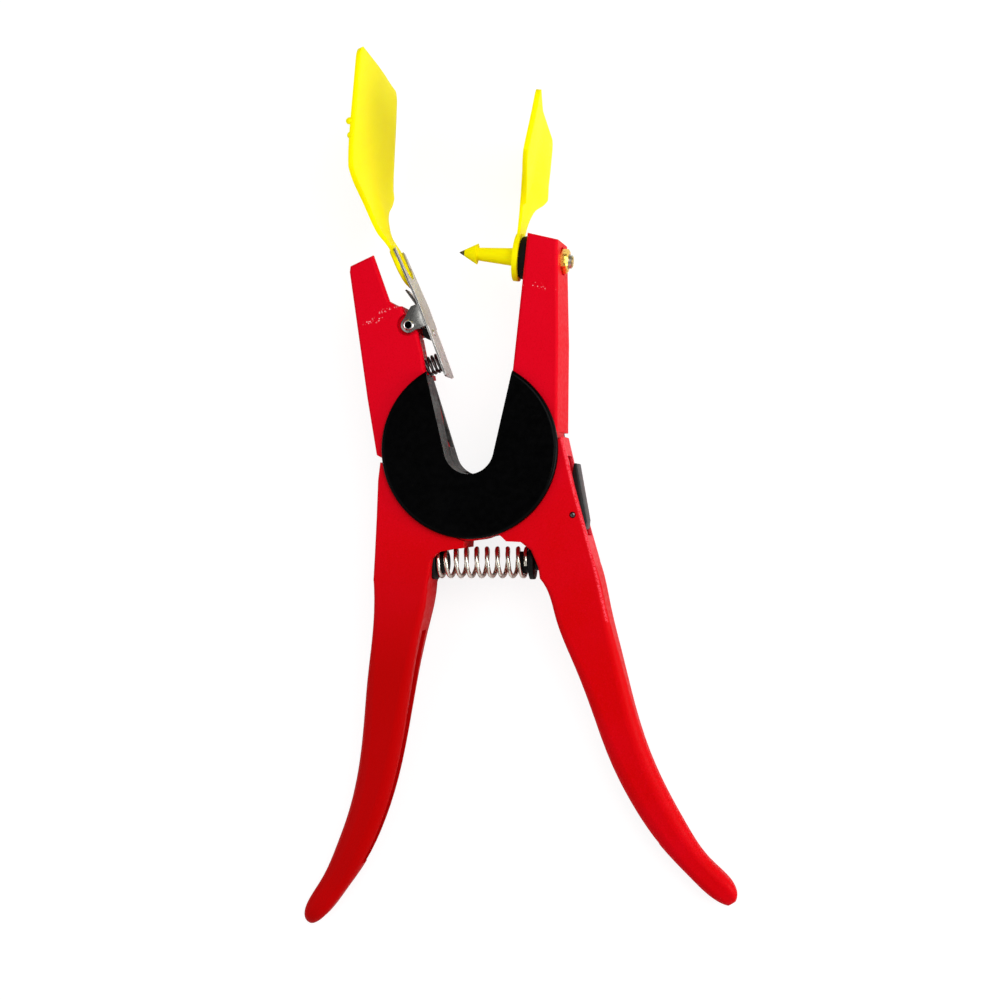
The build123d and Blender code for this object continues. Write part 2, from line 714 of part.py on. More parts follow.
# Clip
def clip_plate():
    joint = plate_thickness / 2
    upper = Pos(plate_top / 2, 0, 0) * Box(plate_top, plate_thickness, 2 * plate_half_width)
    lower = Rot(0, 0, -clip_bend) * Pos(plate_bottom / 2, 0, 0) * Box(
        -plate_bottom, plate_thickness, 2 * plate_low_half_width)
    web = Rot(0, 0, -clip_bend) * Pos(ear_bottom / 2, 0, 0) * Box(
        -ear_bottom, plate_thickness, 2 * plate_half_width)
    sheet = upper + lower + web + Cylinder(joint, 2 * plate_half_width)
    ends = [e for e in sheet.edges() if e.length < plate_thickness + 0.01
            and (e.center().X > plate_top / 2 or e.center().X < plate_bottom / 2)]
    sheet = fillet(ends, plate_corner)
    fork = Pos(button_height, 0, 0) * Box(reach, reach, 2 * fork_half_width,
                                          align=(Align.MIN, Align.CENTER, Align.CENTER))
    fork += across_frame(fork_half_width, -reach, reach, button_height)
    rivet = Rot(0, 0, -clip_bend) * across_frame(rivet_radius, -reach, reach, pad_along)
    return clip_frame * (sheet - fork - rivet)


def clip_bracket():
    low = plate_thickness / 2
    web = Pos((ear_top + ear_bottom) / 2, low + ear_thickness / 2, 0) * Box(
        ear_top - ear_bottom, ear_thickness, 2 * plate_half_width)
    outline = [(ear_top, low), (ear_top, ear_top_out), (ear_bottom, ear_bottom_out), (ear_bottom, low)]
    boss = Pos(clip_pin_along, clip_pin_out) * Circle(ear_radius)
    tangent = [(clip_pin_along + ear_side, ear_side_out), (ear_top, ear_top_out),
               (ear_bottom, ear_bottom_out), (clip_pin_along - ear_side, ear_side_out)]
    flat = polygon(outline) + boss + polygon(tangent)
    ear = Pos(0, 0, plate_half_width - ear_thickness) * extrude(flat, ear_thickness)
    ears = ear + mirror(ear, about=Plane.XY)
    sheet = [(ear_top - past, low), (ear_top, low), (tongue_length, tongue_out),
             (tongue_length, tongue_out + tongue_thickness), (ear_top - past, low + ear_thickness)]
    tongue = plate(sheet, -tongue_half_width, tongue_half_width)
    hole = Pos(clip_pin_along, clip_pin_out, 0) * Cylinder(clip_pin_radius + turning_clearance, 2 * reach)
    return clip_low_frame * (web + ears + tongue - hole)


def clip_pin():
    head = disc(clip_pin_head_radius, plate_half_width, plate_half_width + clip_pin_head)
    pin = Cylinder(clip_pin_radius, 2 * plate_half_width) + head + mirror(head, about=Plane.XY)
    return clip_low_frame * Pos(clip_pin_along, clip_pin_out, 0) * pin


def clip_pad():
    low = plate_thickness / 2
    block = Pos(pad_along, low + pad_out / 2, 0) * Box(pad_height, pad_out, 2 * pad_half_width)
    block = fillet(block.edges().filter_by(Axis.Z), pad_round)
    return clip_low_frame * (block - across_frame(rivet_radius, 0, low + pad_out / 2, pad_along))


def clip_rivet():
    low = -plate_thickness / 2
    head = across_frame(rivet_head_radius, low - rivet_head, low, pad_along)
    shank = across_frame(rivet_radius, low, plate_thickness / 2 + pad_out / 2, pad_along)
    return clip_low_frame * (head + shank)


def clip_spring():
    made = coil(clip_spring_radius, clip_spring_wire, clip_spring_turns, clip_spring_length)
    return clip_low_frame * Pos(clip_spring_along, plate_thickness / 2, 0) * Rot(-90, 0, 0) * made


# Lock lever
def lock_lever():
    outline = [lock_heel, lock_heel_top, (lock_tip[0] + lock_proud, lock_tip[1]), lock_tip] + lock_back
    body = plate(outline, -lock_half_width, lock_half_width)
    body = fillet(body.edges().filter_by(Axis.Z), lock_round)
    return body - disc(lock_pin_radius + turning_clearance, -half_depth, half_depth, lock_pin_place)


def lock_pin():
    end = half_depth - loose_clearance
    return disc(lock_pin_radius, -end, end, lock_pin_place)


nodes = {
    "female_jaw_lever": female_jaw_lever, "male_jaw_lever": male_jaw_lever,
    "front_cover": front_cover, "rear_cover": rear_cover,
    "pivot_bush": pivot_bush, "pivot_bolt": pivot_bolt, "pivot_washer": pivot_washer, "pivot_nut": pivot_nut,
    "return_spring": return_spring,
    "spring_seat_left": spring_seat_left, "spring_seat_right": spring_seat_right,
    "applicator_pin": applicator_pin, "pin_nut": pin_nut, "pin_washer": pin_washer,
    "male_tag": male_tag, "male_tag_point": male_tag_point, "female_tag": female_tag,
    "clip_plate": clip_plate, "clip_bracket": clip_bracket, "clip_pin": clip_pin, "clip_pad": clip_pad,
    "clip_rivet": clip_rivet, "clip_spring": clip_spring,
    "lock_lever": lock_lever, "lock_pin": lock_pin,
}

solids = {name: make() for name, make in nodes.items()}

# Lying pose, with the origin at the middle of the box's floor
tilt = Rot(lying_pitch, 0, 0) * Rot(0, lying_roll, 0)
box = Compound(children=[tilt * copy for copy in solids.values()]).bounding_box()
shift = (-(box.min.X + box.max.X) / 2, -(box.min.Y + box.max.Y) / 2, -box.min.Z)
rest_place = Pos(*shift) * tilt

os.makedirs("parts", exist_ok=True)
for name, solid in solids.items():
    export_step(rest_place * solid, f"parts/{name}.step")
print("shift", [round(value, 3) for value in shift], "size", box.size)
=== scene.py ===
import json
import math

import bmesh
import bpy
from mathutils import Matrix, Vector


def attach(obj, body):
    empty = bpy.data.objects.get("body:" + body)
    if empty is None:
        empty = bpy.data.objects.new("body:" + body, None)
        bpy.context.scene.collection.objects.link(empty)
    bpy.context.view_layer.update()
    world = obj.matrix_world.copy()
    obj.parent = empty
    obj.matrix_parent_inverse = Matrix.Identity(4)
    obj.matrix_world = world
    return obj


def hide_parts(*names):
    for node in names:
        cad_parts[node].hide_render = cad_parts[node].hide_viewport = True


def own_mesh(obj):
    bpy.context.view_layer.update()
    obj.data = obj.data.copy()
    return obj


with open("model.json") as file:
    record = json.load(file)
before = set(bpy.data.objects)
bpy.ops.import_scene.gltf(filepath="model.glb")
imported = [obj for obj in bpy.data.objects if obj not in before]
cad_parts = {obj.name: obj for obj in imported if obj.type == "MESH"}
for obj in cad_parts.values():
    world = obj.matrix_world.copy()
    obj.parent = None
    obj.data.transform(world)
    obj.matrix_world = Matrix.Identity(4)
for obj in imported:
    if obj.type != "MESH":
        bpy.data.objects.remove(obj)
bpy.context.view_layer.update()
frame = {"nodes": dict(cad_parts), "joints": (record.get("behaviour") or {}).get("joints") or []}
nodes = frame["nodes"]
joints = {joint["name"]: joint for joint in frame["joints"]}
print("frame loaded")

# Tool frame: millimetres, pivot at the origin, X across, Y towards the tags, Z out of the front
lie = {"pitch": 6.51, "roll": 0.239, "photoTurn": 5.0}
pivot = Vector(joints["closing_hinge"]["pos_m"])
toolTurn = (Matrix.Rotation(math.radians(lie["pitch"]), 3, "X")
            @ Matrix.Rotation(math.radians(lie["roll"]), 3, "Y"))
toolSpace = Matrix.Translation(pivot) @ toolTurn.to_4x4() @ Matrix.Scale(0.001, 4)


def place(x, y, z=0.0):
    return toolSpace @ Vector((x, y, z))


def aim(x, y, z=0.0):
    return (toolTurn @ Vector((x, y, z))).normalized()


def fromPhoto(x, y, z):
    turn = math.radians(lie["photoTurn"])
    return (x * math.cos(turn) + y * math.sin(turn), y * math.cos(turn) - x * math.sin(turn), z)


# Carrier spaces by X, Y and turn: X up the tag, Y out of its face, Z as in the tool frame
carriers = {"pin": (28.10, 90.06, 78.73), "clip": (-13.75, 76.77, 109.0),
            "clipLow": (-13.75, 76.77, 105.5)}


def carrier(x, y, degrees):
    turn = Matrix.Rotation(math.radians(degrees), 4, "Z")
    return toolSpace @ Matrix.Translation((x, y, 0)) @ turn


pinSpace = carrier(*carriers["pin"])
clipSpace = carrier(*carriers["clip"])
clipLowSpace = carrier(*carriers["clipLow"])
acrossTurn = Matrix.Rotation(math.radians(-90), 4, "X")

# Camera
shot = {"eye": (113.302, 1.843, 590.885), "target": (9.113, 1.843, 0.0), "lens": 57.6,
        "sensor": 36.0, "near": 0.01, "far": 20.0}
cameraData = bpy.data.cameras.new("toolCamera")
cameraData.lens = shot["lens"]
cameraData.sensor_width = shot["sensor"]
cameraData.clip_start = shot["near"]
cameraData.clip_end = shot["far"]
cameraObject = bpy.data.objects.new("toolCamera", cameraData)
bpy.context.scene.collection.objects.link(cameraObject)
eye = place(*fromPhoto(*shot["eye"]))
forward = (place(*fromPhoto(*shot["target"])) - eye).normalized()
right = forward.cross(aim(*fromPhoto(0, 1, 0))).normalized()
upward = right.cross(forward)
cameraTurn = Matrix((right, upward, -forward)).transposed().to_4x4()
cameraObject.matrix_world = Matrix.Translation(eye) @ cameraTurn
bpy.context.scene.camera = cameraObject
bpy.context.scene.view_settings.view_transform = "Standard"
print("camera set")

# Lamps: a soft key from the upper right, a side lamp for the right-hand flanks, a weak fill
lamps = {
    "keyLamp": {"at": (260, 240, 560), "size": 0.45, "watts": 1.95},
    "sideLamp": {"at": (620, -40, 150), "size": 0.35, "watts": 2.1},
    "fillLamp": {"at": (-420, -120, 420), "size": 0.6, "watts": 0.8},
}
for lampName, lamp in lamps.items():
    lampData = bpy.data.lights.new(lampName, "AREA")
    lampData.shape = "DISK"
    lampData.size = lamp["size"]
    lampData.energy = lamp["watts"]
    lampObject = bpy.data.objects.new(lampName, lampData)
    bpy.context.scene.collection.objects.link(lampObject)
    where = place(*fromPhoto(*lamp["at"]))
    lampObject.location = where
    lampObject.rotation_mode = "QUATERNION"
    lampObject.rotation_quaternion = (pivot - where).to_track_quat("-Z", "Y")


# A node with its settings
def newNode(tree, kind, **values):
    node = tree.nodes.new(kind)
    for key, value in values.items():
        setattr(node, key, value)
    return node


# A number is set on the socket itself, anything else is a socket to link from
def feed(tree, socket, value):
    if isinstance(value, (int, float)):
        socket.default_value = value
    else:
        tree.links.new(value, socket)


# World: even light on surfaces, white where the camera sees it, and for reflections dark overhead
# with a bright low band to the right and the near side, as a studio has
studio = {"light": 0.58, "shown": 1.0, "glossLow": 0.10, "glossHigh": 1.15, "bandFrom": 0.12,
          "bandTo": 0.62, "bandAim": (0.72, -0.62, 0.05)}
world = bpy.data.worlds.new("studio")
bpy.context.scene.world = world
world.use_nodes = True
worldTree = world.node_tree
worldTree.nodes.clear()

worldOut = newNode(worldTree, "ShaderNodeOutputWorld")
worldPath = newNode(worldTree, "ShaderNodeLightPath")
worldGround = [newNode(worldTree, "ShaderNodeBackground") for _ in range(3)]
worldGround[0].inputs["Strength"].default_value = studio["light"]
worldGround[1].inputs["Strength"].default_value = studio["shown"]
worldGround[1].inputs["Color"].default_value = (1, 1, 1, 1)
worldCoords = newNode(worldTree, "ShaderNodeTexCoord")
worldDot = newNode(worldTree, "ShaderNodeVectorMath", operation="DOT_PRODUCT")
worldDot.inputs[1].default_value = aim(*fromPhoto(*studio["bandAim"]))
worldTree.links.new(worldCoords.outputs["Generated"], worldDot.inputs[0])
worldBand = newNode(worldTree, "ShaderNodeMapRange", interpolation_type="SMOOTHSTEP")
worldBand.inputs["From Min"].default_value = studio["bandFrom"]
worldBand.inputs["From Max"].default_value = studio["bandTo"]
worldBand.inputs["To Min"].default_value = studio["glossLow"]
worldBand.inputs["To Max"].default_value = studio["glossHigh"]
worldTree.links.new(worldDot.outputs["Value"], worldBand.inputs["Value"])
worldTree.links.new(worldBand.outputs["Result"], worldGround[2].inputs["Strength"])
worldSeen = newNode(worldTree, "ShaderNodeMath", operation="MAXIMUM")
worldTree.links.new(worldPath.outputs["Is Camera Ray"], worldSeen.inputs[0])
worldTree.links.new(worldPath.outputs["Is Transmission Ray"], worldSeen.inputs[1])
worldFirst = newNode(worldTree, "ShaderNodeMixShader")
worldSecond = newNode(worldTree, "ShaderNodeMixShader")
worldTree.links.new(worldSeen.outputs[0], worldFirst.inputs["Fac"])
worldTree.links.new(worldGround[0].outputs[0], worldFirst.inputs[1])
worldTree.links.new(worldGround[1].outputs[0], worldFirst.inputs[2])
worldTree.links.new(worldPath.outputs["Is Glossy Ray"], worldSecond.inputs["Fac"])
worldTree.links.new(worldFirst.outputs[0], worldSecond.inputs[1])
worldTree.links.new(worldGround[2].outputs[0], worldSecond.inputs[2])
worldTree.links.new(worldSecond.outputs[0], worldOut.inputs["Surface"])
print("light set")


# One material with its shader and the object's own coordinates
class Finish:
    def __init__(self, name):
        self.material = bpy.data.materials.new(name)
        self.material.use_nodes = True
        self.tree = self.material.node_tree
        self.shader = self.tree.nodes["Principled BSDF"]
        self.coords = self.tree.nodes.new("ShaderNodeTexCoord").outputs["Object"]

    def add(self, kind, **values):
        return newNode(self.tree, kind, **values)

    def link(self, source, target):
        self.tree.links.new(source, target)

    # coordinates in metres with X and Y along two directions from a point
    def turned(self, origin, along, across, stretch=None):
        xAxis = Vector(along).normalized()
        zAxis = xAxis.cross(Vector(across)).normalized()
        yAxis = zAxis.cross(xAxis)
        turn = Matrix((xAxis, yAxis, zAxis))
        mapping = self.add("ShaderNodeMapping", vector_type="POINT")
        mapping.inputs["Rotation"].default_value = turn.to_euler()
        mapping.inputs["Location"].default_value = -(turn @ Vector(origin))
        self.link(self.coords, mapping.inputs["Vector"])
        if stretch is None:
            return mapping.outputs["Vector"]
        scaled = self.add("ShaderNodeMapping", vector_type="POINT")
        scaled.inputs["Scale"].default_value = stretch
        self.link(mapping.outputs["Vector"], scaled.inputs["Vector"])
        return scaled.outputs["Vector"]

    def noise(self, scale, detail=2.0, rough=0.5, coords=None):
        node = self.add("ShaderNodeTexNoise")
        node.inputs["Scale"].default_value = scale
        node.inputs["Detail"].default_value = detail
        node.inputs["Roughness"].default_value = rough
        self.link(coords or self.coords, node.inputs["Vector"])
        return node.outputs["Fac"]

    def spots(self, scale, coords=None):
        node = self.add("ShaderNodeTexVoronoi", feature="F1")
        node.inputs["Scale"].default_value = scale
        self.link(coords or self.coords, node.inputs["Vector"])
        return node.outputs["Distance"]

    def ramp(self, source, low, high, lowValue=0.0, highValue=1.0, smooth=False):
        node = self.add("ShaderNodeMapRange")
        node.interpolation_type = "SMOOTHSTEP" if smooth else "LINEAR"
        node.inputs["From Min"].default_value = low
        node.inputs["From Max"].default_value = high
        node.inputs["To Min"].default_value = lowValue
        node.inputs["To Max"].default_value = highValue
        self.link(source, node.inputs["Value"])
        return node.outputs["Result"]

    def math(self, operation, *values):
        node = self.add("ShaderNodeMath", operation=operation)
        for socket, value in zip(node.inputs, values):
            feed(self.tree, socket, value)
        return node.outputs[0]

    def mix(self, factor, first, second):
        node = self.add("ShaderNodeMix", data_type="RGBA")
        self.link(factor, node.inputs["Factor"])
        for socket, value in ((node.inputs[6], first), (node.inputs[7], second)):
            if isinstance(value, tuple):
                socket.default_value = (*value, 1.0)
            else:
                self.link(value, socket)
        return node.outputs[2]

    def axis(self, coords, letter):
        node = self.add("ShaderNodeSeparateXYZ")
        self.link(coords, node.inputs[0])
        return node.outputs[letter]

    def bump(self, height, distance, strength=1.0, before=None):
        node = self.add("ShaderNodeBump")
        node.inputs["Distance"].default_value = distance
        node.inputs["Strength"].default_value = strength
        self.link(height, node.inputs["Height"])
        if before is not None:
            self.link(before, node.inputs["Normal"])
        return node.outputs["Normal"]

    def finish(self, color, roughness, normal, metallic=0.0, specular=0.5):
        shader = self.shader
        self.link(color, shader.inputs["Base Color"])
        self.link(roughness, shader.inputs["Roughness"])
        self.link(normal, shader.inputs["Normal"])
        shader.inputs["Metallic"].default_value = metallic
        shader.inputs["Specular IOR Level"].default_value = specular
        return self.material


# A ramp's numbers are the low and high end of its source, then the values at both ends.
# Coated castings: orange peel, fine speckle, small chips along the crease of each jaw,
# a painted highlight down the right handle's outer edge and painted shade down the left handle
coat = {
    "bright": (0.76, 0.002, 0.022), "jaw": (0.69, 0.0, 0.010), "handle": (0.61, 0.0, 0.001),
    "deep": (0.44, 0.0, 0.0), "chip": (0.95, 0.40, 0.46), "wornAndHighlight": (0.88, 0.07, 0.10),
    "speckleScale": 1900.0, "cloudScale": 38.0, "dullScale": 700.0, "chipScale": 1150.0,
    "gateScale": 520.0, "peelScale": 1100.0,
    "jawFade": (-0.045, 0.06), "handleShadeFade": (-0.01, -0.06), "cloudy": (0.38, 0.70, 0.0, 0.18),
    "lighter": (0.55, 0.72, 0.0, 0.40), "darker": (0.44, 0.30, 0.0, 0.40),
    "roughness": (0.3, 0.7, 0.34, 0.50), "chipped": (0.38, 0.28), "gated": (0.46, 0.54),
    "paintedHighlight": (0.40, 0.58), "creaseSoft": (0.3, 0.85), "highlightSoft": (0.2, 0.94),
    "peelDepth": 0.00010, "speckleDepth": 0.00004, "gloss": 0.03,
}


def makeRedCoat(name, creases, highlightLines, handleShade):
    f = Finish(name)

    # 1 on a short line across the casting, fading to its sides and ends
    def onLine(origin, direction, reach, width, soft):
        local = f.turned(origin, direction, aim(-direction.y, direction.x))
        near = f.ramp(f.math("ABSOLUTE", f.axis(local, "Y")), width, width * soft[0])
        held = f.ramp(f.math("ABSOLUTE", f.axis(local, "X")), reach, reach * soft[1])
        return f.math("MULTIPLY", near, held)

    grain = f.noise(coat["speckleScale"], 3.0, 0.6)
    cloud = f.noise(coat["cloudScale"], 3.0, 0.55)
    upTool = f.axis(f.turned(place(0, 0), aim(1, 0), aim(0, 1)), "Y")
    base = f.mix(f.ramp(upTool, *coat["jawFade"], smooth=True), coat["handle"], coat["jaw"])
    base = f.mix(f.ramp(cloud, *coat["cloudy"]), base, coat["bright"])
    base = f.mix(f.ramp(grain, *coat["lighter"]), base, coat["bright"])
    base = f.mix(f.ramp(grain, *coat["darker"]), base, coat["deep"])
    # painted shade: the handle darkens towards its end, as much as the lever's amount says
    shade = f.math("MULTIPLY", f.ramp(upTool, *coat["handleShadeFade"]), handleShade)
    base = f.mix(shade, base, coat["deep"])
    roughness = f.ramp(f.noise(coat["dullScale"], 2.0), *coat["roughness"])
    specks = f.math("MULTIPLY", f.ramp(f.spots(coat["chipScale"]), *coat["chipped"]),
                    f.ramp(f.noise(coat["gateScale"], 2.0, 0.6), *coat["gated"]))
    for origin, direction, reach, width, amount in creases:
        band = onLine(origin, direction, reach, width, coat["creaseSoft"])
        chipped = f.math("MULTIPLY", f.math("MULTIPLY", band, specks), amount)
        base = f.mix(chipped, base, coat["chip"])
    # painted highlight: a lighter, grained line along the handle's outer edge
    for origin, direction, reach, width in highlightLines:
        band = onLine(origin, direction, reach, width, coat["highlightSoft"])
        paintedHighlight = f.math("MULTIPLY", band, f.ramp(grain, *coat["paintedHighlight"]))
        base = f.mix(paintedHighlight, base, coat["wornAndHighlight"])
    normal = f.bump(f.noise(coat["peelScale"], 2.0, 0.5), coat["peelDepth"], 0.5)
    normal = f.bump(grain, coat["speckleDepth"], 0.6, normal)
    return f.finish(base, roughness, normal, specular=coat["gloss"])


# Moulded covers: near black, with a painted reflection that greys the wall round the throat
cover = {
    "black": (0.0004, 0.0004, 0.0005), "wornAndHighlight": (0.0012, 0.0012, 0.0013),
    "wall": (0.062, 0.076, 0.072), "wallDark": (0.016, 0.019, 0.018), "gloss": 0.05,
    "centre": (1.2, 20.6), "throat": (0.0255, 0.0245), "wallEdge": (0.01238, 0.01225),
    "streakFrom": (0, 20), "streakStretch": (0.2, 1, 1), "streakScale": 240.0,
    "cloudScale": 55.0, "grainScale": 2600.0, "dullScale": 420.0, "streaky": (0.38, 0.62),
    "cloudy": (0.45, 0.8), "roughness": (0.35, 0.7, 0.24, 0.38), "grainDepth": 0.00003,
}


def makeCoverBlack(name):
    f = Finish(name)
    local = f.turned(place(*cover["centre"]), aim(1, 0), aim(0, 1))
    level = f.math("ABSOLUTE", f.axis(local, "Z"))
    flat = f.add("ShaderNodeVectorMath", operation="MULTIPLY")
    flat.inputs[1].default_value = (1, 1, 0)
    f.link(local, flat.inputs[0])
    span = f.add("ShaderNodeVectorMath", operation="LENGTH")
    f.link(flat.outputs[0], span.inputs[0])
    inThroat = f.ramp(span.outputs["Value"], *cover["throat"])
    # painted reflection: the wall round the throat turns grey, with darker and lighter streaks
    wallReflectionMask = f.math("MULTIPLY", f.ramp(level, *cover["wallEdge"]), inThroat)
    drawn = f.turned(place(*cover["streakFrom"]), aim(0, 0, 1), aim(0, 1), cover["streakStretch"])
    streak = f.noise(cover["streakScale"], 3.0, 0.6, drawn)
    wall = f.mix(f.ramp(streak, *cover["streaky"]), cover["wallDark"], cover["wall"])
    cloud = f.noise(cover["cloudScale"], 4.0, 0.6)
    base = f.mix(f.ramp(cloud, *cover["cloudy"]), cover["black"], cover["wornAndHighlight"])
    base = f.mix(wallReflectionMask, base, wall)
    roughness = f.ramp(f.noise(cover["dullScale"], 3.0, 0.6), *cover["roughness"])
    normal = f.bump(f.noise(cover["grainScale"], 2.0), cover["grainDepth"], 0.5)
    return f.finish(base, roughness, normal, specular=cover["gloss"])


# Tags: soft yellow moulding, slightly waxy, with a little grime
tagFinish = {
    "yellow": (1.0, 0.87, 0.0), "warm": (1.0, 0.78, 0.0), "grime": (0.70, 0.48, 0.0),
    "cloudScale": 45.0, "grainScale": 1400.0, "waveScale": 160.0,
    "cloudy": (0.45, 0.78, 0.0, 0.30), "grimy": (0.68, 0.80, 0.0, 0.22),
    "roughness": (0.3, 0.7, 0.38, 0.54), "grainDepth": 0.00005, "waveDepth": 0.00015,
    "glow": 0.22, "glowRadius": (0.9, 0.6, 0.05), "glowScale": 0.003, "gloss": 0.03,
}


def makeTagYellow(name):
    f = Finish(name)
    cloud = f.noise(tagFinish["cloudScale"], 3.0, 0.5)
    grain = f.noise(tagFinish["grainScale"], 3.0, 0.6)
    base = f.mix(f.ramp(cloud, *tagFinish["cloudy"]), tagFinish["yellow"], tagFinish["warm"])
    base = f.mix(f.ramp(grain, *tagFinish["grimy"]), base, tagFinish["grime"])
    roughness = f.ramp(grain, *tagFinish["roughness"])
    normal = f.bump(grain, tagFinish["grainDepth"], 0.5)
    normal = f.bump(f.noise(tagFinish["waveScale"], 2.0), tagFinish["waveDepth"], 0.3, normal)
    f.shader.inputs["Subsurface Weight"].default_value = tagFinish["glow"]
    f.shader.inputs["Subsurface Radius"].default_value = tagFinish["glowRadius"]
    f.shader.inputs["Subsurface Scale"].default_value = tagFinish["glowScale"]
    return f.finish(base, roughness, normal, specular=tagFinish["gloss"])


# Plated or turned metal: drawn lines along one direction, dull patches and darker spots
metal = {"lineScale": 2400.0, "stretch": (0.06, 1, 1), "dulled": (0.35, 0.7), "lined": (0.3, 0.7),
         "spotSoft": 0.08, "spotAmount": 0.85, "patchy": (0.55, 0.75, 0.0, 0.12), "depth": 0.00002}


def makeMetal(name, bright, dull, rough, drawn=None, spots=None, spotScale=300.0, spotFrom=0.62):
    f = Finish(name)
    coords = None
    if drawn is not None:
        coords = f.turned(pivot, drawn, Vector(drawn).orthogonal(), metal["stretch"])
    lines = f.noise(metal["lineScale"], 3.0, 0.6, coords)
    patch = f.noise(spotScale, 3.0, 0.6)
    base = f.mix(f.ramp(lines, *metal["dulled"]), bright, dull)
    if spots is not None:
        spotted = f.ramp(patch, spotFrom, spotFrom + metal["spotSoft"], 0.0, metal["spotAmount"])
        base = f.mix(spotted, base, spots)
    roughness = f.math("ADD", f.ramp(lines, *metal["lined"], *rough),
                       f.ramp(patch, *metal["patchy"]))
    return f.finish(base, roughness, f.bump(lines, metal["depth"], 0.5), metallic=1.0)


# Rubber or plain plastic: grained, with dusty high spots
moulded = {"grained": (0.3, 0.7), "dustScale": 260.0, "dusty": (0.6, 0.8, 0.0, 0.3), "dustGain": 3,
           "strength": 0.7}


def makeMoulded(name, dark, light, rough, grainScale, depth, specular):
    f = Finish(name)
    grain = f.noise(grainScale, 3.0, 0.6)
    dust = f.noise(moulded["dustScale"], 4.0, 0.65)
    dusty = tuple(moulded["dustGain"] * channel for channel in light)
    base = f.mix(f.ramp(grain, *moulded["grained"]), dark, light)
    base = f.mix(f.ramp(dust, *moulded["dusty"]), base, dusty)
    roughness = f.ramp(grain, *moulded["grained"], *rough)
    normal = f.bump(grain, depth, moulded["strength"])
    return f.finish(base, roughness, normal, specular=specular)


# Creases with chipped coat: middle, direction, half length, half width in metres, amount
frontFace = 10
leftCreases = [(place(-30.7, 71.9, frontFace), aim(1, 0.34), 0.0048, 0.0014, 1.0),
               (place(-24.9, 75.5, frontFace), aim(1, 0.15), 0.0055, 0.0011, 0.6)]
rightCreases = [(place(28.8, 79.1, frontFace), aim(1, -0.26), 0.0052, 0.0011, 1.0),
                (place(35.4, 76.6, frontFace), aim(1, -0.24), 0.0034, 0.0008, 0.6)]

# Painted highlight down the outer edge of the right handle, in short lines
highlightLine = {"width": 0.0007, "perReach": 1950,
         "points": ((35.7, 21.8), (38.2, 4.0), (41.0, -12.0), (43.4, -25.0), (45.0, -36.0),
                    (46.4, -47.0))}
handleHighlights = []
for (x0, y0), (x1, y1) in zip(highlightLine["points"], highlightLine["points"][1:]):
    middle = place((x0 + x1) / 2, (y0 + y1) / 2, frontFace)
    reach = math.hypot(x1 - x0, y1 - y0) / highlightLine["perReach"]
    handleHighlights.append((middle, aim(x1 - x0, y1 - y0), reach, highlightLine["width"]))

# The left jaw's lever carries the painted highlight down its handle
redLeftJaw = makeRedCoat("redCoatLeftJaw", leftCreases, handleHighlights, 0.0)
# The right jaw's lever carries painted shade down its handle
redRightJaw = makeRedCoat("redCoatRightJaw", rightCreases, [], 0.85)
coverBlack = makeCoverBlack("coverBlack")
tagYellow = makeTagYellow("tagYellow")
clipNickel = makeMetal("clipNickel", (0.74, 0.73, 0.71), (0.50, 0.49, 0.47), (0.20, 0.34),
                       drawn=aim(-0.33, 0.95), spots=(0.20, 0.19, 0.18), spotScale=420.0,
                       spotFrom=0.66)
# near black on the rounded edges of the clip's sheet parts: painted shade along their edges
shadedClipEdge = makeMetal("shadedClipEdge", (0.10, 0.098, 0.095), (0.03, 0.03, 0.03), (0.30, 0.45))
springNickel = makeMetal("springNickel", (0.88, 0.85, 0.76), (0.50, 0.45, 0.36), (0.14, 0.26),
                         spots=(0.10, 0.07, 0.05), spotScale=500.0, spotFrom=0.58)
# The bracket's nickel is a darker copy of the clip plate's: painted shade for the ear in its
# pocket
shadedBracketNickel = makeMetal("shadedBracketNickel", (0.52, 0.515, 0.49), (0.30, 0.295, 0.28), (0.22, 0.36),
                          drawn=aim(0.4, 0.9), spots=(0.10, 0.10, 0.09), spotScale=520.0)
turnedSteel = makeMetal("turnedSteel", (0.62, 0.62, 0.62), (0.45, 0.45, 0.46), (0.22, 0.36),
                        drawn=aim(0, 0, 1))
darkSteel = makeMetal("darkSteel", (0.16, 0.155, 0.15), (0.06, 0.06, 0.06), (0.22, 0.40),
                      spots=(0.40, 0.39, 0.36), spotScale=600.0, spotFrom=0.64)
nutBrass = makeMetal("nutBrass", (1.0, 0.72, 0.16), (0.92, 0.50, 0.06), (0.20, 0.32),
                     spots=(0.55, 0.12, 0.01), spotScale=520.0, spotFrom=0.60)
nutEdge = makeMetal("nutEdge", (0.20, 0.12, 0.03), (0.05, 0.03, 0.01), (0.30, 0.45))
threadBrass = makeMetal("threadBrass", (0.95, 0.74, 0.26), (0.30, 0.20, 0.05), (0.22, 0.36),
                        spots=(0.05, 0.04, 0.02), spotScale=900.0, spotFrom=0.56)
bushBronze = makeMetal("bushBronze", (0.55, 0.34, 0.16), (0.42, 0.25, 0.12), (0.34, 0.48),
                       drawn=aim(0, 0, 1))
# near black inside the eyelet's hole: painted shade
holeShade = makeMoulded("holeShade", (0.001, 0.001, 0.001), (0.003, 0.003, 0.003),
                          (0.7, 0.9), 900.0, 0.00003, 0.02)
padRubber = makeMoulded("padRubber", (0.003, 0.003, 0.003), (0.009, 0.009, 0.009),
                        (0.6, 0.8), 1500.0, 0.00006, 0.1)
leverPlastic = makeMoulded("leverPlastic", (0.002, 0.002, 0.002), (0.006, 0.007, 0.007),
                           (0.34, 0.48), 1800.0, 0.00004, 0.25)
seatPlastic = makeMoulded("seatPlastic", (0.002, 0.002, 0.002), (0.007, 0.007, 0.007),
                          (0.4, 0.55), 1600.0, 0.00004, 0.12)
print("materials made")

